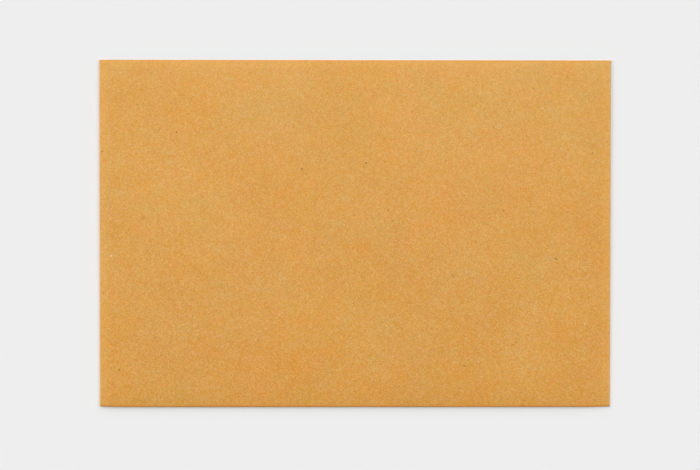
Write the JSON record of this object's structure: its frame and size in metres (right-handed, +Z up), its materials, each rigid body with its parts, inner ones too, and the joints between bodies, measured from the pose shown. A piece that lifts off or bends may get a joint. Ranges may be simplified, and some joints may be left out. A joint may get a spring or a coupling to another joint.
{
  "type": "kraft envelope",
  "caption": "Plain kraft paper envelope with a folded pocket, glued side seams and a gummed closure flap that opens flat.",
  "frame": {"origin": "under the middle of the address face, on the surface that the closed envelope lies on", "axes": "+X along the long edges, to the right when the address face is read; +Y across the address face towards the crease of the closure flap; +Z up, out of the address face"},
  "size_m": [0.206, 0.14, 0.0016],
  "materials": {
    "kraft_paper": "matte unbleached kraft paper with a fine fibre mottle",
    "seam_glue": "thin dried glue, translucent and dull",
    "flap_gum": "thin dried remoistenable gum with a soft gloss"
  },
  "bodies": {
    "pocket": {"front_panel": "kraft_paper", "bottom_fold": "kraft_paper", "left_fold": "kraft_paper", "right_fold": "kraft_paper", "left_side_flap": "kraft_paper", "right_side_flap": "kraft_paper", "back_panel": "kraft_paper", "left_seam_glue": "seam_glue", "right_seam_glue": "seam_glue", "top_fold": "kraft_paper"},
    "flap": {"closure_flap": "kraft_paper", "flap_gum": "flap_gum"}
  },
  "joints": [
    {"name": "flap_fold", "type": "hinge", "parent": "pocket", "child": "flap", "pos_m": [0, 0.0692, 0.0008], "axis": [1, 0, 0], "range_deg": [0, 180], "deforming": ["top_fold"]}
  ]
}
